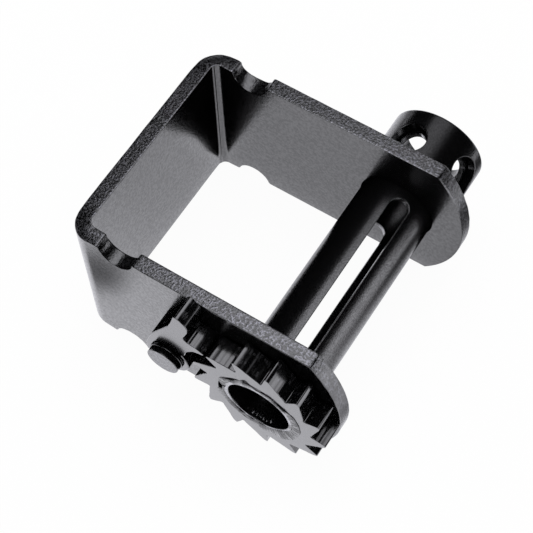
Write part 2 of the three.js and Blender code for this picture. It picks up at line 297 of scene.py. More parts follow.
def buildLamp(spec):
    data = bpy.data.lights.new("overheadSoftbox", "AREA")
    data.shape = "SQUARE"
    data.size = spec["lampSize"]
    data.energy = spec["lampPower"]
    lamp = bpy.data.objects.new("overheadSoftbox", data)
    lamp.location = spec["lampPlace"]
    lamp.rotation_mode = "QUATERNION"
    lamp.rotation_quaternion = Vector(spec["lampPlace"]).to_track_quat("Z", "Y")
    lamp.visible_glossy = False  # gloss sees the cards in its place
    bpy.context.scene.collection.objects.link(lamp)


buildWorld(studio)
buildFloor(studio)
buildLamp(studio)
addCard("overheadCard", overheadCard)
addCard("sideCard", sideCard)
bpy.context.scene.view_settings.view_transform = "Standard"
print("studio built")


# Every surface is the same black enamel, over steel that was made in different ways. It has an index of 1.8
# under a clear top layer, because the photograph's walls mirror more of the white floor than 1.5 gives.
enamel = {
    "colour": "#070708",
    "index": 1.8,
    "pitRange": (0.38, 0.62),  # of the dimples' height, from the coat's least weight to its greatest
    "cutRange": (0.55, 0.95),  # of the rim attribute, from a whole film to a thin one
    "coatIndex": 1.75,
    "coatRoughness": 0.16,
}


def tornRim(tree, place, spec, normal):
    # The shader's inputs on the cut edges, which the pieces mark with their rim attribute. The film is thin
    # there over a torn grain, and in patches the steel's crests glint through it. Real grain is finer: it is
    # drawn coarse enough to show.
    rim = addNode(tree, "ShaderNodeAttribute", {"attribute_name": "rim"}).outputs["Fac"]
    stretched = addNode(tree, "ShaderNodeMapping", None, {"Vector": place, "Scale": spec["stretch"]})
    grain = addNode(tree, "ShaderNodeTexNoise", None, {
        "Vector": stretched.outputs[0], "Scale": 1 / spec["grain"], "Detail": 3.0, "Roughness": 0.6,
    }).outputs["Fac"]
    patches = addNode(tree, "ShaderNodeTexNoise", None, {
        "Vector": place, "Scale": 1 / spec["patches"], "Detail": 1.0,
    }).outputs["Fac"]
    torn = addNode(tree, "ShaderNodeBump", None, {
        "Height": grain, "Distance": spec["grainDepth"], "Strength": rim, "Normal": normal,
    }).outputs[0]
    thin = faded(tree, 1.0, rim, *enamel["cutRange"])
    thin = faded(tree, thin, grain, *spec["crestRange"])
    thin = faded(tree, thin, patches, *spec["patchRange"])
    steel = addNode(tree, "ShaderNodeMix", {"data_type": "RGBA"}, {
        0: thin, 6: colour(enamel["colour"]), 7: colour(spec["steel"]),
    }).outputs[2]
    inputs = {"Base Color": steel, "Metallic": thin, "Normal": torn, "Coat Normal": torn}
    if "edgeRoughness" in spec:
        inputs["Roughness"] = addNode(tree, "ShaderNodeMapRange", None, {
            "Value": rim, "To Min": spec["faceRoughness"], "To Max": spec["edgeRoughness"],
        }).outputs[0]
    return inputs


def enamelMaterial(name, spec):
    # Gives the eye a black film with faint dimples, whose gloss is broken by pits.
    material, tree = newMaterial(name)
    place = addNode(tree, "ShaderNodeTexCoord").outputs["Object"]
    peel = addNode(tree, "ShaderNodeTexNoise", None, {
        "Vector": place, "Scale": 1 / spec["peel"], "Detail": 2.0, "Roughness": 0.5,
    }).outputs["Fac"]
    faces = addNode(tree, "ShaderNodeBump", None, {
        "Height": peel, "Distance": spec["peelDepth"], "Strength": 1.0,
    }).outputs[0]
    coat = addNode(tree, "ShaderNodeMapRange", None, {
        "Value": peel, "From Min": enamel["pitRange"][0], "From Max": enamel["pitRange"][1],
        "To Min": spec["coatRange"][0], "To Max": spec["coatRange"][1],
    }).outputs[0]
    inputs = {
        "Base Color": colour(enamel["colour"]),
        "Roughness": spec["faceRoughness"],
        "IOR": enamel["index"],
        "Coat Weight": coat,
        "Coat IOR": enamel["coatIndex"],
        "Coat Roughness": enamel["coatRoughness"],
        "Normal": faces,
        "Coat Normal": faces,
    }
    if "grain" in spec:
        inputs.update(tornRim(tree, place, spec, faces))
    shader = addNode(tree, "ShaderNodeBsdfPrincipled", None, inputs)
    addNode(tree, "ShaderNodeOutputMaterial", None, {"Surface": shader.outputs[0]})
    return material


barFinish = {  # hot-rolled flat bar: faint dimples on its faces, a broken grain where it was sheared
    "peel": 1.4 * mm,
    "peelDepth": 0.05 * mm,
    "coatRange": (0.55, 1.0),
    "grain": 1.15 * mm,
    "stretch": (1, 1, 0.6),
    "grainDepth": 0.26 * mm,
    "crestRange": (0.48, 0.58),
    "patches": 6 * mm,
    "patchRange": (0.2, 0.5),
    "faceRoughness": 0.24,
    "edgeRoughness": 0.2,
    "steel": "#84848a",
}
turnedFinish = {  # drawn tube and turned bar: the film has run into small specks
    "peel": 0.7 * mm,
    "peelDepth": 0.05 * mm,
    "coatRange": (0.1, 1.0),
    "grain": 0.8 * mm,
    "stretch": (1, 1, 1),
    "grainDepth": 0.06 * mm,
    "crestRange": (0.3, 0.5),
    "patches": 7 * mm,
    "patchRange": (0.3, 0.55),
    "faceRoughness": 0.22,
    "steel": "#b8b8bc",
}
flameFinish = {  # flame-cut plate: drag lines run across its thickness, along X
    "peel": 1.6 * mm,
    "peelDepth": 0.006 * mm,
    "coatRange": (0.92, 1.0),
    "grain": 0.8 * mm,
    "stretch": (0.12, 1, 1),
    "grainDepth": 0.01 * mm,
    "crestRange": (0.48, 0.66),
    "patches": 3 * mm,
    "patchRange": (0.52, 0.68),
    "faceRoughness": 0.2,
    "edgeRoughness": 0.13,
    "steel": "#6c6c70",
}
weldFinish = {  # the film lies unbroken over the bead's ripples
    "peel": 0.7 * mm,
    "peelDepth": 0.03 * mm,
    "coatRange": (0.3, 1.0),
    "faceRoughness": 0.22,
}
ringFinish = {  # drawn wire: no cut edge shows
    "peel": 0.7 * mm,
    "peelDepth": 0.05 * mm,
    "coatRange": (0.1, 1.0),
    "faceRoughness": 0.22,
}
sawnFinish = {  # the pin's sawn end: streaks run along Y
    "peel": 0.8 * mm,
    "peelDepth": 0.02 * mm,
    "coatRange": (0.5, 1.0),
    "grain": 0.7 * mm,
    "stretch": (1, 0.14, 1),
    "grainDepth": 0.16 * mm,
    "crestRange": (0.3, 0.5),
    "patches": 5 * mm,
    "patchRange": (0.3, 0.55),
    "faceRoughness": 0.22,
    "edgeRoughness": 0.2,
    "steel": "#5c5c60",
}

finishes = {
    "plate": enamelMaterial("black enamel on hot rolled bar", barFinish),
    "turned": enamelMaterial("black enamel on drawn tube", turnedFinish),
    "teeth": enamelMaterial("black enamel on flame cut plate", flameFinish),
    "weld": enamelMaterial("black enamel on weld bead", weldFinish),
    "ring": enamelMaterial("black enamel on spring steel", ringFinish),
    "sawn": enamelMaterial("black enamel on a sawn end", sawnFinish),
}
for entry in frame["record"]["subparts"]:
    node = frame["nodes"][entry["node"]]
    node.data.materials.clear()
    node.data.materials.append(finishes[entry["material_slot"]])
print("materials made")


weldDistance = 0.002 * mm  # for seams and poles


def arc(centre, radius, start, end, count):
    # points centre + radius (cos t, sin t), t in degrees from start to end
    t = np.radians(np.linspace(start, end, count + 1))
    return np.c_[centre[0] + radius * np.cos(t), centre[1] + radius * np.sin(t)]


def wave(t, seed, low, high):
    # sum over k from low to high of a sin(k t + p), about -1 to 1, closed after a full turn of t; the seed
    # picks every a and p
    rng = np.random.default_rng(seed)
    k = np.arange(low, high + 1)
    phase = rng.uniform(0, fullTurn, len(k))
    share = rng.uniform(0.4, 1, len(k))
    height = (share * np.sin(np.multiply.outer(t, k) + phase)).sum(axis=-1)
    return height / math.sqrt(1.5 * (share ** 2).sum())


def hump(t, middle, halfWidth):
    # 1 at the middle angle, falling as a cosine to 0 at halfWidth to either side, all in degrees
    away = np.abs((np.degrees(t) - middle + 180) % 360 - 180) / halfWidth
    return np.where(away < 1, 0.5 + 0.5 * np.cos(np.pi * np.minimum(away, 1)), 0)


def gridFaces(rows, columns):
    # quads between neighbouring rows of a grid whose columns close on themselves
    r, c = np.meshgrid(np.arange(rows - 1), np.arange(columns), indexing="ij")
    after = (c + 1) % columns
    corners = (r * columns + c, r * columns + after, (r + 1) * columns + after, (r + 1) * columns + c)
    return np.stack(corners, axis=-1).reshape(-1, 4)


def edgeRows(contour, low, high, radius, lowRadius=None, turns=4, middle=1, lowDepth=None):
    # A rounded edge along a closed contour that has the material on its left. Down the edge t goes from 0
    # to 90 degrees, moved in by radius (1 - sin t) and down by radius (1 - cos t), then straight, then the
    # same mirrored, where the move in may have a depth of its own.
    ahead = np.roll(contour, -1, axis=0) - contour
    ahead /= np.linalg.norm(ahead, axis=1, keepdims=True)
    left = np.c_[-ahead[:, 1], ahead[:, 0]]
    before = np.roll(left, 1, axis=0)
    inward = (left + before) / np.maximum(1 + (left * before).sum(axis=1, keepdims=True), 0.7)
    lowRadius = radius if lowRadius is None else lowRadius
    lowDepth = lowRadius if lowDepth is None else lowDepth
    radius, lowRadius, lowDepth = (
        np.broadcast_to(size, len(contour))[None, :] for size in (radius, lowRadius, lowDepth)
    )
    t = np.linspace(0, np.pi / 2, turns + 1)[:, None]
    upper = high - radius * (1 - np.cos(t))
    lower = (low + lowRadius * (1 - np.cos(t)))[::-1]
    share = np.linspace(0, 1, middle + 1)[1:-1, None]
    straight = upper[-1] + (lower[0] - upper[-1]) * share
    heights = np.concatenate((upper, straight, lower))
    upperInset, lowerInset = radius * (1 - np.sin(t)), lowDepth * (1 - np.sin(t[::-1]))
    insets = np.concatenate((upperInset, np.zeros_like(straight), lowerInset))
    places = contour[None] + inward[None] * insets[..., None]
    return np.concatenate((places, heights[..., None]), axis=-1)


def insideLoops(points, contours):
    # a point is inside where a ray towards +x crosses the contours an odd number of times
    start = np.concatenate(contours)
    end = np.concatenate([np.roll(contour, -1, axis=0) for contour in contours])
    rise = np.where(end[:, 1] == start[:, 1], 1, end[:, 1] - start[:, 1])
    x, y = points[:, 0, None], points[:, 1, None]
    spans = (start[:, 1] > y) != (end[:, 1] > y)
    crossing = start[:, 0] + (y - start[:, 1]) * (end[:, 0] - start[:, 0]) / rise
    return (spans & (x < crossing)).sum(axis=1) % 2 == 1


def gapTo(points, contours):
    # distance from each point to the nearest corner of the contours
    every = np.concatenate(contours)
    return np.sqrt(((points[:, None, :] - every[None]) ** 2).sum(axis=-1)).min(axis=1)


def sheetMesh(loops, lattice, clearance=0, flatten=lambda points: points):
    # A sheet with rounded edges. Each loop holds rows of (a, b, height) from the upper face over the edge
    # to the lower face. In the plane that flatten gives, both faces are filled between the loops' ends and
    # the lattice's points that lie farther than the clearance from them.
    points = [loop.reshape(-1, 3) for loop in loops]
    starts = np.cumsum([0] + [len(part) for part in points])
    faceSets = [gridFaces(*loop.shape[:2]) + start for loop, start in zip(loops, starts)]
    total = starts[-1]
    flatLattice = flatten(lattice)
    for end in (0, -1):
        contours = [flatten(loop[end, :, :2]) for loop in loops]
        keep = insideLoops(flatLattice, contours) & (gapTo(flatLattice, contours) > clearance)
        rimIndex = [
            start + (end % loop.shape[0]) * loop.shape[1] + np.arange(loop.shape[1])
            for loop, start in zip(loops, starts)
        ]
        index = np.concatenate(rimIndex + [total + np.arange(keep.sum())])
        flat = np.concatenate(contours + [flatLattice[keep]])
        firsts = np.cumsum([0] + [len(contour) for contour in contours])
        edges = np.concatenate([
            np.c_[first + np.arange(len(contour)), first + np.roll(np.arange(len(contour)), -1)]
            for first, contour in zip(firsts, contours)
        ])
        filled = delaunay_2d_cdt([Vector(p) for p in flat], edges.tolist(), [], 1, 1e-8)
        if len(filled[0]) != len(flat):
            raise ValueError("a sheet's contours meet")
        triangles = np.array(filled[2])
        triangles = triangles[insideLoops(flat[triangles].mean(axis=1), contours)]
        faceSets.append(index[triangles])
        points.append(np.c_[lattice[keep], np.full(keep.sum(), loops[0][end, 0, 2])])
        total += keep.sum()
    return np.concatenate(points), faceSets


def gridLattice(first, second):
    # every pair of a number from the first row and one from the second
    a, b = np.meshgrid(first, second, indexing="ij")
    return np.c_[a.ravel(), b.ravel()]


def addPiece(name, points, faceSets, body, slot, stands=(), rim=None, finish=None):
    mesh = bpy.data.meshes.new(name)
    corners = np.concatenate([faces.ravel() for faces in faceSets]).astype(np.int32)
    counts = np.concatenate([np.full(len(faces), faces.shape[1]) for faces in faceSets])
    mesh.vertices.add(len(points))
    mesh.vertices.foreach_set("co", points.astype(np.float32).ravel())
    mesh.loops.add(len(corners))
    mesh.loops.foreach_set("vertex_index", corners)
    mesh.polygons.add(len(counts))
    mesh.polygons.foreach_set("loop_start", (np.cumsum(counts) - counts).astype(np.int32))
    mesh.update(calc_edges=True)
    if rim is not None:
        mesh.attributes.new("rim", "FLOAT", "POINT").data.foreach_set("value", rim.astype(np.float32))
    work = bmesh.new()
    work.from_mesh(mesh)
    bmesh.ops.remove_doubles(work, verts=work.verts, dist=weldDistance)
    bmesh.ops.recalc_face_normals(work, faces=work.faces)
    work.to_mesh(mesh)
    work.free()
    mesh.validate()
    mesh.polygons.foreach_set("use_smooth", np.ones(len(mesh.polygons), bool))
    mesh.materials.append(finishes[finish or slot])
    piece = bpy.data.objects.new(name, mesh)
    bpy.context.scene.collection.objects.link(piece)
    even = piece.modifiers.new("even shading", "WEIGHTED_NORMAL")  # keeps flats flat beside rounded edges
    even.weight = 80
    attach(piece, body)
    if stands:
        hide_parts(*stands)
    print(name, len(mesh.vertices), "vertices", len(mesh.polygons), "faces")


# The bracket: one flat bar with its notches, round ends and holes, bent twice.
bracketSizes = {
    "thickness": 8 * mm,
    "innerRadius": 4 * mm,
    "endRadius": 66 * mm,
    "notchRadius": 9.6 * mm,
    "notchDistance": 28.5 * mm,  # behind the web's outer face
    "notchCorner": 1.6 * mm,
    "lowerNotchRise": 2.0 * mm,  # how much shallower the lower notches are
    "notchDrag": 2.6 * mm,  # how far the punch left the far notch's floor sloping
    "bendDraw": 1.6 * mm,  # how far the stretched side of a bend is drawn in at the bar's edges
    "bendSwell": 0.4,  # share of it that the squeezed side swells out
    "bendSpread": 11 * mm,
    "edgeRadius": 0.5 * mm,
    "edgeWander": 0.3,  # share of the edge radius
    "drawWidth": 1.0 * mm,  # the inner side's edge, which the shear drew down unevenly
    "drawDepth": 0.28 * mm,
    "drawWander": 0.3,
    "drumClearance": 0.45 * mm,
    "pinClearance": 0.2 * mm,
    "step": 1.5 * mm,
    "bendColumns": 32,
    "creaseAngle": 30,  # degrees from the web, where the press left a line inside each bend
    "creaseWidth": 6,
    "creaseDepth": 0.22 * mm,
    "creaseLayer": 0.9,  # of the half thickness: only the inner face is pressed in
    "burr": 0.35,  # share of the edge radius over which the inner side's burr is torn
    "endShare": 0.8,  # how far the legs' round ends show the torn grain
    "notchShare": 0.6,  # the same for the notches' walls
    "latticeColumns": 5 * mm,
    "latticeRows": 4 * mm,
    "latticeGap": 1.2 * mm,
}


def joined(*parts):
    # one contour from stretches that may share their end points
    points = np.concatenate(parts)
    apart = np.linalg.norm(points - np.roll(points, 1, axis=0), axis=1) > weldDistance
    return points[apart]


def circleContour(centre, radius, count):
    # a hole's outline, run clockwise, so that the material is on its left
    return arc(centre, radius, 360, 0, count)[:-1]


def flatQuarter(spec, legStart, flatPlace, rise):
    # a quarter of the flat bar's outline, from the middle of the far end to the middle of the upper edge,
    # with the notch's centre raised above the edge
    edge = plateHigh[2]
    end = flatPlace(plateLow[1]) - spec["endRadius"]
    endAngle = math.degrees(math.asin(edge / spec["endRadius"]))
    notch = flatPlace(plateHigh[1] - spec["notchDistance"])
    corner, radius = spec["notchCorner"], spec["notchRadius"]
    across = math.sqrt((radius + corner) ** 2 - (corner + rise) ** 2)
    lean = math.degrees(math.atan2(corner + rise, across))
    webHalf = plateHigh[0] - spec["innerRadius"] - spec["thickness"]

    def along(start, stop):
        count = max(2, int(abs(stop - start) / spec["step"]))
        return np.c_[np.linspace(start, stop, count), np.full(count, edge)]

    bend = np.linspace(legStart, webHalf, spec["bendColumns"] + 1)
    return joined(
        arc((end, 0), spec["endRadius"], 0, endAngle, 50),
        along(end + spec["endRadius"] * math.cos(math.radians(endAngle)), notch + across),
        arc((notch + across, edge - corner), corner, 90, 180 - lean, 8),
        arc((notch, edge + rise), radius, -lean, lean - 180, 48),
        arc((notch - across, edge - corner), corner, lean, 90, 8),
        along(notch - across, legStart),
        np.c_[bend, np.full(len(bend), edge)],
        along(webHalf, 0),
    )


def buildBracket(spec):
    half = spec["thickness"] / 2
    middleRadius = spec["innerRadius"] + half
    webHalf = plateHigh[0] - spec["innerRadius"] - spec["thickness"]
    legStart = webHalf + middleRadius * math.pi / 2
    legTop = plateHigh[1] - spec["innerRadius"] - spec["thickness"]

    def flatPlace(y):
        return legStart + legTop - y

    notch = flatPlace(plateHigh[1] - spec["notchDistance"])

    def bent(points):
        # Along the bar u, across it z, from its middle layer v. Over the bend, with m the middle radius,
        # the angle a is (|u| - web half) / m, x = web half + (m + v) sin a, y = leg top + (m + v) cos a.
        # The bend's work on the edges falls off as exp(-2 (distance from its middle / spread)^2).
        u, z, v = points.T
        worked = np.exp(-(((np.abs(u) - (webHalf + legStart) / 2) / spec["bendSpread"]) ** 2) * 2)
        drawn = spec["bendDraw"] * np.where(v > 0, 1, spec["bendSwell"])
        z = z * (1 - worked * v / half * drawn / plateHigh[2])
        below = (plateHigh[2] - z) / spec["notchRadius"]
        floor = np.clip(np.minimum(below, 2 - below), 0, 1)
        floor *= np.exp(-((u - notch) / spec["notchRadius"]) ** 2)
        z = z + spec["notchDrag"] * floor * (v + half) / (2 * half)
        a = np.clip((np.abs(u) - webHalf) / middleRadius, 0, np.pi / 2)
        crease = np.exp(-((np.degrees(a) - spec["creaseAngle"]) / spec["creaseWidth"]) ** 2)
        v = v - spec["creaseDepth"] * (v < -spec["creaseLayer"] * half) * crease
        x = np.minimum(np.abs(u), webHalf) + (middleRadius + v) * np.sin(a)
        y = legTop + (middleRadius + v) * np.cos(a) - np.maximum(np.abs(u) - legStart, 0)
        return np.c_[np.sign(u) * x, y, z]

    upper = flatQuarter(spec, legStart, flatPlace, 0)
    lower = flatQuarter(spec, legStart, flatPlace, spec["lowerNotchRise"]) * (1, -1)
    outline = joined(upper, upper[::-1] * (-1, 1), lower * (-1, 1), lower[::-1])
    turn = np.linspace(0, fullTurn, len(outline), endpoint=False)
    radius = spec["edgeRadius"] * (1 + spec["edgeWander"] * wave(turn, 3, 20, 160))
    draw = spec["drawWidth"] * (1 + spec["drawWander"] * wave(turn, 4, 40, 260))
    drumRadius = (tubeHigh[2] - tubeLow[2]) / 2 + spec["drumClearance"]
    pinRadius = (pinHigh[2] - pinLow[2]) / 2 + spec["pinClearance"]
    drumPlace = flatPlace(drumAxis[0])
    loops = [edgeRows(outline, -half, half, radius, draw, 6, 5, spec["drawDepth"])]
    for contour in (
        circleContour((drumPlace, 0), drumRadius, 144),
        circleContour((-drumPlace, 0), drumRadius, 144),
        circleContour((-flatPlace(pinAxis[0]), pinAxis[1]), pinRadius, 72),
    ):
        loops.append(edgeRows(contour, -half, half, spec["edgeRadius"] / 2))
    bend = np.linspace(webHalf, legStart, spec["bendColumns"] + 1)
    leg = np.arange(legStart + spec["latticeColumns"], flatPlace(plateLow[1]), spec["latticeColumns"])
    web = np.linspace(0, webHalf, 12)[1:-1]
    side = np.concatenate((web, bend, leg))
    rows = np.arange(-plateHigh[2], plateHigh[2], spec["latticeRows"])
    lattice = gridLattice(np.concatenate((-side[::-1], [0], side)), rows)
    flat, faceSets = sheetMesh(loops, lattice, spec["latticeGap"])
    points = bent(flat)

    # the rim: 1 on the cut edges, falling to 0 over the rounded one, or sooner on the inner side
    height = flat[:, 2]
    reach = np.where(height < 0, spec["burr"], 1) * spec["edgeRadius"]
    rim = np.clip((half - np.abs(height)) / reach, 0, 1)
    fromNotch = np.abs(points[:, 1] - plateHigh[1] + spec["notchDistance"])
    deep = np.abs(points[:, 2]) < plateHigh[2] - 2 * spec["edgeRadius"]
    rim *= np.where(deep & (fromNotch < spec["notchRadius"] + spec["edgeRadius"]), spec["notchShare"], 1)
    rim *= np.where(deep & (points[:, 1] < drumAxis[0]), spec["endShare"], 1)
    addPiece("bentBracket", points, faceSets, "bracket", "plate", ("frame",), rim)


# Tube and bar head: sheets rolled round the drum's axis, given as (x, angle, radius).
rolledSheet = {  # the same for both
    "columns": 180,
    "latticeGap": 0.7 * mm,
    "cutStart": 0.3 * mm,  # depth over which a cut wall comes to show its grain
}
tubeSizes = {
    "wall": 3.4 * mm,
    "slotHalf": 5.3 * mm,
    "slotReach": 49 * mm,
    "slotDegrees": 109,
    "slotEdge": 0.45 * mm,
    "holeShare": 0.84,  # of the head's hole radius, left by the smaller drill that ran on through the tube
    "holeEdge": 0.05 * mm,
    "innerEdge": 0.2 * mm,
    "endEdge": 0.5 * mm,
    "rowStep": 2.5 * mm,
}
headSizes = {
    "wall": 5 * mm,
    "crossHoles": (  # direction in degrees, place along the drum from the head's middle, radius
        (69.3, -0.8 * mm, 9.1 * mm),
        (156.3, 0.9 * mm, 10.2 * mm),
    ),
    "holeEdge": 0.6 * mm,
    "innerEdge": 0.05 * mm,
    "wallShare": 0.5,  # how far the holes' walls show the bare grain
    "endEdge": 1.2 * mm,
    "rowStep": 2.2 * mm,
}


def pierce(contour, degrees, low, high, edge, innerEdge):
    # A hole cut straight along one direction: a point p to the side of that direction lies at the angle
    # direction + asin(p / radius) on the surface of each radius.
    rows = edgeRows(contour, low, high, edge, innerEdge, turns=5, middle=3)
    rows[..., 1] = math.radians(degrees) + np.arcsin(rows[..., 1] / rows[..., 2])
    return rows


def rolledMesh(start, stop, low, high, holes, spec):
    # between two rounded ends, whose rows go over the edge as edgeRows says, here with x and the radius
    columns, edge, rowStep = rolledSheet["columns"], spec["endEdge"], spec["rowStep"]
    angles = np.arange(columns) * fullTurn / columns
    loops = []
    for place, inwards in ((start, 1), (stop, -1)):
        t = np.linspace(0, np.pi / 2, 6)
        inset = edge * np.concatenate((1 - np.sin(t), (1 - np.sin(t))[::-1]))
        radius = np.concatenate((high - edge * (1 - np.cos(t)), (low + edge * (1 - np.cos(t)))[::-1]))
        rows = np.empty((len(inset), columns, 3))
        rows[..., 0] = place + inwards * inset[:, None]
        rows[..., 1] = angles
        rows[..., 2] = radius[:, None]
        loops.append(rows)
    loops += holes
    steps = np.arange(start + rowStep, stop - rowStep / 2, rowStep)
    lattice = gridLattice(steps, angles + fullTurn / columns / 2)

    def flatten(p):
        # unrolled into a ring, so that no seam is cut
        out = p[:, 0] - start + high
        return np.c_[out * np.cos(p[:, 1]), out * np.sin(p[:, 1])]

    flat, faceSets = sheetMesh(loops, lattice, rolledSheet["latticeGap"], flatten)
    x, angle, radius = flat.T
    points = np.c_[x, drumAxis[0] + radius * np.cos(angle), drumAxis[1] + radius * np.sin(angle)]
    return points, faceSets


def cutShare(points, low, outer):
    # 1 on the cut walls, 0 on the outer and inner surfaces
    radius = np.hypot(*(points[:, 1:] - drumAxis).T)
    start = rolledSheet["cutStart"]
    return np.clip((outer - radius) / start, 0, 1) * np.clip((radius - low) / start, 0, 1)


def crossCuts(low, high, spec, share=1):
    # both ends of each drilling, through the wall from low to high
    cuts = []
    for degrees, shift, radius in headSizes["crossHoles"]:
        hole = circleContour(((headLow[0] + headHigh[0]) / 2 + shift, 0), radius * share, 96)
        for turn in (0, 180):
            cuts.append(pierce(hole, degrees + turn, low, high, spec["holeEdge"], spec["innerEdge"]))
    return cuts


def buildTube(spec):
    outer = (tubeHigh[2] - tubeLow[2]) / 2
    low = outer - spec["wall"]
    reach = spec["slotReach"] - spec["slotHalf"]
    slot = joined(
        arc((reach, 0), spec["slotHalf"], 90, -90, 40),
        np.c_[np.linspace(reach, -reach, 60), np.full(60, -spec["slotHalf"])],
        arc((-reach, 0), spec["slotHalf"], -90, -270, 40),
        np.c_[np.linspace(-reach, reach, 60), np.full(60, spec["slotHalf"])],
    )
    cuts = [
        pierce(slot, spec["slotDegrees"] + turn, low, outer, spec["slotEdge"], spec["innerEdge"])
        for turn in (0, 180)
    ]
    cuts += crossCuts(low, outer, spec, spec["holeShare"])
    start = wheelLow[0]  # its end shows flush in the weld
    points, faceSets = rolledMesh(start, tubeHigh[0], low, outer, cuts, spec)
    rim = cutShare(points, low, outer)
    addPiece("slottedTube", points, faceSets, "drum", "turned", ("drum_tube",), rim)


def buildHead(spec):
    outer = (headHigh[2] - headLow[2]) / 2
    low = outer - spec["wall"]
    points, faceSets = rolledMesh(headLow[0], headHigh[0], low, outer, crossCuts(low, outer, spec), spec)
    rim = spec["wallShare"] * cutShare(points, low, outer)
    addPiece("crossDrilledHead", points, faceSets, "drum", "turned", ("bar_head",), rim)


buildBracket(bracketSizes)
buildTube(tubeSizes)
buildHead(headSizes)


# Ratchet wheel and pawl: outlines from the CAD nodes, softened and roughened as a flame leaves them.
flameCut = {  # the same for both
    "step": 0.3 * mm,
    "wander": 0.06 * mm,
    "edgeRadius": 0.45 * mm,
    "tipShare": 0.15,  # of the turn's radius: the widest edge that fits a corner
    "tipGrowth": 0.15,  # how fast the edge may widen away from a corner
    "tipReach": 20,
}
wheelSizes = {
    **flameCut,
    "blur": 0.4 * mm,
    "bore": 22.3 * mm,
    "seed": 11,
}
pawlSizes = {
    **flameCut,
    "blur": 0.9 * mm,
    "bore": 9.15 * mm,
    "seed": 12,
    "nosePress": 0.5 * mm,  # how far the nose's side is brought up to the tooth that it leans on
    "noseBlur": 0.4 * mm,
}
pawlSwing = next(joint for joint in frame["record"]["behaviour"]["joints"] if joint["name"] == "pawl_swing")
pawlSeat = math.radians(pawlSwing["range_deg"][1])


def rimOf(node, centre):
    # Outline of a node's outer face, counter-clockwise in (y, z): the edges of the polygons in that plane
    # that no other one of them shares, followed round from the corner that lies farthest from the centre.
    mesh = frame["nodes"][node].data
    corners = np.empty(len(mesh.vertices) * 3, np.float32)
    mesh.vertices.foreach_get("co", corners)
    corners = corners.reshape(-1, 3).astype(float)
    index = np.empty(len(mesh.loops), np.int32)
    mesh.loops.foreach_get("vertex_index", index)
    starts = np.empty(len(mesh.polygons), np.int32)
    mesh.polygons.foreach_get("loop_start", starts)
    rounded, same = np.unique(np.round(corners / weldDistance).astype(int), axis=0, return_inverse=True)
    flat = (corners[:, 0] < corners[:, 0].min() + weldDistance)[index]
    inPlane = np.repeat(np.logical_and.reduceat(flat, starts), np.diff(np.append(starts, len(index))))
    ahead = np.roll(index, -1)
    ahead[np.append(starts[1:], len(index)) - 1] = index[starts]
    edges = same.ravel()[np.c_[index, ahead]][inPlane]
    border = edges[~np.isin(edges @ (len(rounded), 1), edges @ (1, len(rounded)))]
    after = dict(border.tolist())
    places = rounded[:, 1:] * weldDistance
    away = np.hypot(*(places - centre).T)
    away[np.setdiff1d(np.arange(len(away)), border)] = 0
    order = [int(away.argmax())]
    while after[order[-1]] != order[0]:
        order.append(after[order[-1]])
    outline = joined(places[order])
    y, z = outline.T
    area = (y * np.roll(z, -1) - z * np.roll(y, -1)).sum()
    return outline if area > 0 else outline[::-1]


def softened(contour, spec):
    # evenly spaced points, blurred along the contour by a Gaussian and moved in and out by a small wave
    closed = np.concatenate((contour, contour[:1]))
    length = np.concatenate(([0], np.cumsum(np.linalg.norm(np.diff(closed, axis=0), axis=1))))
    count = int(length[-1] / spec["step"])
    at = np.arange(count) * length[-1] / count
    even = np.stack([np.interp(at, length, closed[:, k]) for k in (0, 1)], axis=-1)
    cycles = np.fft.fftfreq(count, length[-1] / count)
    keep = np.exp(-2 * (np.pi * cycles * spec["blur"]) ** 2)
    smooth = np.real(np.fft.ifft(np.fft.fft(even, axis=0) * keep[:, None], axis=0))
    along = np.roll(smooth, -1, axis=0) - np.roll(smooth, 1, axis=0)
    along /= np.linalg.norm(along, axis=1, keepdims=True)
    turn = np.arange(count) * fullTurn / count
    away = spec["wander"] * wave(turn, spec["seed"], 20, count // 8)
    return smooth + np.c_[along[:, 1], -along[:, 0]] * away[:, None]


def turnRadius(contour, growth, reach):
    # radius of the turn at each point where the contour turns towards the material, growing slowly away
    # from a tip over as many points as reach says
    ahead = np.roll(contour, -2, axis=0) - contour
    before = contour - np.roll(contour, 2, axis=0)
    swing = ahead[:, 1] * before[:, 0] - ahead[:, 0] * before[:, 1]
    product = np.linalg.norm(ahead, axis=1) * np.linalg.norm(before, axis=1)
    bend = np.maximum(swing / product, 1e-6)
    radius = np.linalg.norm(ahead + before, axis=1) / (2 * bend)
    step = np.linalg.norm(ahead, axis=1).max() / 2
    shifts = range(-reach, reach + 1)
    return np.min([np.roll(radius, shift) + growth * step * abs(shift) for shift in shifts], axis=0)


def turned(points, centre, angle):
    # points of (y, z) turned about the centre
    y, z = (points - centre).T
    c, s = math.cos(angle), math.sin(angle)
    return centre + np.c_[y * c - z * s, y * s + z * c]


def pressed(outline, spec):
    # With the pawl turned into its seat, the points inside the wheel's tip circle and past the nose's tip
    # turn on round the drum by the press over their radius.
    seated = turned(outline, pinAxis, pawlSeat)
    y, z = (seated - drumAxis).T
    radius, angle = np.hypot(y, z), np.arctan2(z, y)
    tip = angle[np.argmin(radius)]
    side = np.clip((angle - tip) * radius / spec["noseBlur"] + 1, 0, 1)
    side *= radius < (wheelHigh[2] - wheelLow[2]) / 2
    angle = angle + side * spec["nosePress"] / radius
    moved = drumAxis + np.c_[radius * np.cos(angle), radius * np.sin(angle)]
    return turned(moved, pinAxis, -pawlSeat)


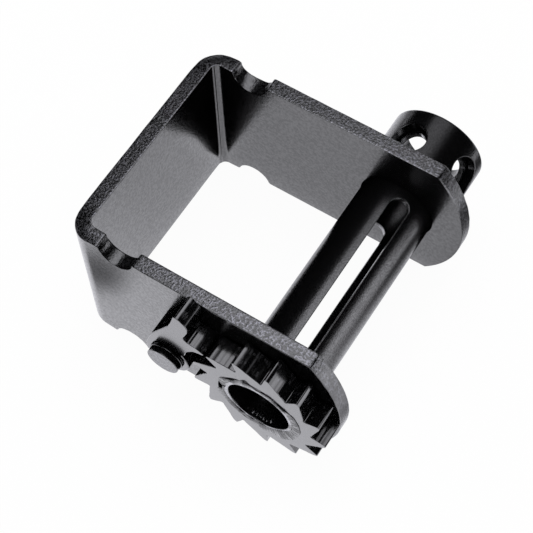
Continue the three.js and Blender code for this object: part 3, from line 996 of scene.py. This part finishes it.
def buildFlameCut(name, node, body, centre, spec):
    low, high = boxOf(node)
    outline = rimOf(node, centre)
    if "nosePress" in spec:
        outline = pressed(outline, spec)
    outline = softened(outline, spec)
    tips = turnRadius(outline, spec["tipGrowth"], spec["tipReach"])
    edge = np.minimum(spec["edgeRadius"], spec["tipShare"] * tips)
    loops = [
        edgeRows(outline, -high[0], -low[0], edge, middle=4),
        edgeRows(circleContour(centre, spec["bore"], 120), -high[0], -low[0], spec["edgeRadius"] / 2),
    ]
    flat, faceSets = sheetMesh(loops, np.empty((0, 2)))
    points = np.c_[-flat[:, 2], flat[:, 0], flat[:, 1]]
    middle = (low[0] + high[0]) / 2
    rim = np.clip(((high[0] - low[0]) / 2 - np.abs(points[:, 0] - middle)) / spec["edgeRadius"], 0, 1)
    addPiece(name, points, faceSets, body, "teeth", (node,), rim)


buildFlameCut("ratchetWheel", "ratchet_wheel", "drum", drumAxis, wheelSizes)
buildFlameCut("fallingPawl", "pawl", "pawl", pinAxis, pawlSizes)


# Weld beads: a closed section that changes as it goes round the drum, by angles from +Y towards +Z.
wheelBead = {
    "columns": 540,
    "crown": 0.6 * mm,
    "foot": 21.9 * mm,  # where a groove is left beside the wheel's bore
    "spread": 1.5 * mm,  # how far it flows over the face elsewhere
    "gulf": 0.7 * mm,  # how much wider the groove is than the wheel's bore alone makes it
    "grooves": (  # middle, half width, strength: broken along the top, long along the bottom
        (50, 26, 1),
        (92, 22, 1),
        (124, 24, 1),
        (300, 52, 1.4),
        (4, 16, 1.5),
    ),
    "pocket": (4, 13),  # middle and half width of the place that was left unfilled
    "pocketWidth": 1.5 * mm,
    "stop": (226, 30),  # where the welder stopped
    "stopSpread": 0.9 * mm,
    "stopRise": 0.4 * mm,
    "lowerSide": (258, 95),  # where the bead drapes into the bore
    "lip": 18.7 * mm,
    "drape": 1.9 * mm,  # how far it hangs over the tube's end there
    "drapeDepth": 3.4 * mm,
    "wander": 0.15 * mm,
    "settle": 0.02 * mm,  # how far the foot sinks into the face
    "ripple": 0.05 * mm,
    "ripples": 70,
    "spatter": 0.5 * mm,
    "back": 19.3 * mm,  # radius of the hidden side, inside the tube's wall
}


def smoothRows(controls, steps):
    # closed Catmull-Rom curve through the control rows: with s from 0 to 1 between rows 1 and 2 of each
    # four, (2 p1 + (p2 - p0) s + (2 p0 - 5 p1 + 4 p2 - p3) s^2 + (3 p1 - p0 - 3 p2 + p3) s^3) / 2
    p0, p1, p2, p3 = (np.roll(controls, shift, axis=0)[:, None] for shift in (1, 0, -1, -2))
    s = (np.arange(steps) / steps).reshape(1, -1, *([1] * (controls.ndim - 1)))
    bent = (2 * p0 - 5 * p1 + 4 * p2 - p3) * s ** 2 + (3 * p1 - p0 - 3 * p2 + p3) * s ** 3
    rows = (2 * p1 + (p2 - p0) * s + bent) / 2
    return rows.reshape(-1, *controls.shape[1:])


def beadPoints(section, t):
    # corners of (x, radius), each one number or one for every angle t round the drum
    controls = np.stack([np.stack((x + 0 * t, r + 0 * t), axis=-1) for x, r in section])
    rows = smoothRows(controls, 4)
    rows = np.concatenate((rows, rows[:1]))
    x, r = rows[..., 0], rows[..., 1]
    y, z = drumAxis[0] + r * np.cos(t), drumAxis[1] + r * np.sin(t)
    return np.stack((x, y, z), axis=-1).reshape(-1, 3), [gridFaces(*rows.shape[:2])]


def buildWheelBead(spec):
    # from the foot on the wheel's face over the crown to the lip in the tube's end, and back behind
    t = np.arange(spec["columns"]) * fullTurn / spec["columns"]
    face = wheelLow[0]
    sunk = np.clip(sum(share * hump(t, middle, width) for middle, width, share in spec["grooves"]), 0, 1)
    pocket = hump(t, *spec["pocket"])
    low = np.clip(1.3 * hump(t, *spec["lowerSide"]), 0, 1)
    stop = hump(t, *spec["stop"])
    wander = wave(t, 5, 3, 24)
    ripple = spec["ripple"] * np.sin(spec["ripples"] * t + 2 * wander)
    foot = spec["foot"] + spec["spread"] * (1 - sunk) - spec["gulf"] * sunk
    foot += spec["stopSpread"] * stop - spec["pocketWidth"] * pocket + spec["wander"] * wander
    crown = spec["crown"] * (1 + 0.5 * wander) + spec["stopRise"] * stop + ripple
    lip = spec["lip"] - spec["drape"] * low
    lump = spec["spatter"] * np.clip(wave(t, 8, 18, 60), 0, 2) * low
    reach = spec["drapeDepth"] * low * (1 + 0.15 * wave(t, 9, 8, 30))
    section = (
        (face + 3 * mm, foot - 0.4 * mm),
        (face + 1.8 * mm * sunk + spec["settle"] * (1 - sunk), foot),
        (face - 0.1 * mm - 0.5 * crown * (1 - sunk), foot - 0.45 * mm),
        (face - crown, foot - 1.2 * mm),
        (face - crown, (foot + lip) / 2),
        (face - 0.7 * crown + 0.1 * reach, lip + 0.9 * mm),
        (face + 0.3 * reach, lip + 0.25 * mm),
        (face + 0.3 * mm + reach, lip - 0.1 * mm - lump),
        (face + 0.9 * mm + 1.15 * reach, lip + 0.9 * mm),
        (face + 3.2 * mm, spec["back"]),
    )
    addPiece("wheelBead", *beadPoints(section, t), "drum", "weld", ("wheel_weld",))


headBead = {
    "columns": 540,
    "wander": 0.2 * mm,
    "ripple": 0.14 * mm,
    "ripples": 46,
}


def buildHeadBead(spec):
    # a fillet in the mouth of the head, from the tube's end to the head's face
    t = np.arange(spec["columns"]) * fullTurn / spec["columns"]
    face, end = headHigh[0], tubeHigh[0]
    outer = (tubeHigh[2] - tubeLow[2]) / 2
    wander = wave(t, 15, 3, 20)
    ripple = spec["ripple"] * np.abs(np.sin(spec["ripples"] * t / 2 + wander))
    wide = outer + spec["wander"] * wander
    section = (
        (end - 0.8 * mm, outer - 1.4 * mm),
        (end + 0.02 * mm, wide - 2.2 * mm),
        (end + 0.7 * mm + ripple, wide - 1.6 * mm),
        (face - 0.9 * mm + ripple, wide - 0.4 * mm),
        (face - 0.1 * mm + ripple, wide + 0.7 * mm),
        (face + 0.12 * mm + 0.4 * ripple, wide + 1.5 * mm),
        (face - 0.3 * mm, wide + 1.9 * mm),
        (face - 1.4 * mm, outer + 0.9 * mm),
    )
    addPiece("headBead", *beadPoints(section, t), "drum", "weld", ("head_weld",))


buildWheelBead(wheelBead)
buildHeadBead(headBead)


# Pin and ring: profiles of (x, radius) spun round the pin's axis.
pinSizes = {
    "columns": 120,
    "edge": 0.35 * mm,
    "footEdge": 0.3 * mm,  # the chamfer at its hidden end
    "grooveDepth": 1 * mm,
    "clearance": 0.2 * mm,
}
ringSizes = {
    "columns": 120,
    "edge": 0.3 * mm,
}


def spun(profile, axis, columns):
    # point (i, j) = (x_i, y0 + r_i cos t_j, z0 + r_i sin t_j), where t_j goes once round the axis
    t = np.arange(columns) * fullTurn / columns
    x, r = (np.array(profile)[:, k, None] for k in (0, 1))
    points = np.stack((x + 0 * t, axis[0] + r * np.cos(t), axis[1] + r * np.sin(t)), axis=-1)
    return points.reshape(-1, 3), [gridFaces(len(profile), columns)]


def buildPin(spec):
    radius = (pinHigh[2] - pinLow[2]) / 2
    edge = spec["edge"]
    t = np.linspace(0, np.pi / 2, 6)
    rounded = np.c_[pinLow[0] + edge * (1 - np.sin(t)), radius - edge * (1 - np.cos(t))][::-1]
    groove = radius - spec["grooveDepth"]
    outside, inside = ringLow[0] - spec["clearance"], ringHigh[0] + spec["clearance"]
    foot = spec["footEdge"]
    profile = np.concatenate((
        np.c_[np.full(5, pinLow[0]), np.linspace(0, radius - 1.2 * edge, 5)],
        rounded,
        [(outside, radius), (outside, groove), (inside, groove), (inside, radius)],
        np.c_[np.linspace(ringHigh[0] + 1 * mm, pinHigh[0] - foot, 6), np.full(6, radius)],
        [(pinHigh[0], radius - foot), (pinHigh[0], 0)],
    ))
    points, faceSets = spun(profile, pinAxis, spec["columns"])
    onEnd = np.hypot(*(points[:, 1:] - pinAxis).T) < radius - 1.1 * edge  # the flat of both ends
    addPiece("sawnPin", points, faceSets, "bracket", "turned", ("pawl_pin",), onEnd * 1.0, "sawn")


def closedSection(low, high, inner, outer, edge):
    # the rounded rectangle from low to high and from inner to outer, as a closed profile
    left, right, bottom, top = low + edge, high - edge, inner + edge, outer - edge
    centres = ((left, bottom), (right, bottom), (right, top), (left, top))
    turns = zip(centres, (180, 270, 360, 450))
    profile = np.concatenate([arc(centre, edge, start, start + 90, 4) for centre, start in turns])
    return np.concatenate((profile, profile[:1]))


def buildSnapRing(spec):
    inner = (pinHigh[2] - pinLow[2]) / 2 - pinSizes["grooveDepth"] + pinSizes["clearance"]
    section = closedSection(ringLow[0], ringHigh[0], inner, ringHigh[2] - pinAxis[1], spec["edge"])
    addPiece("snapRing", *spun(section, pinAxis, spec["columns"]), "bracket", "ring", ("pin_ring",))


buildPin(pinSizes)
buildSnapRing(ringSizes)
print("pieces built")
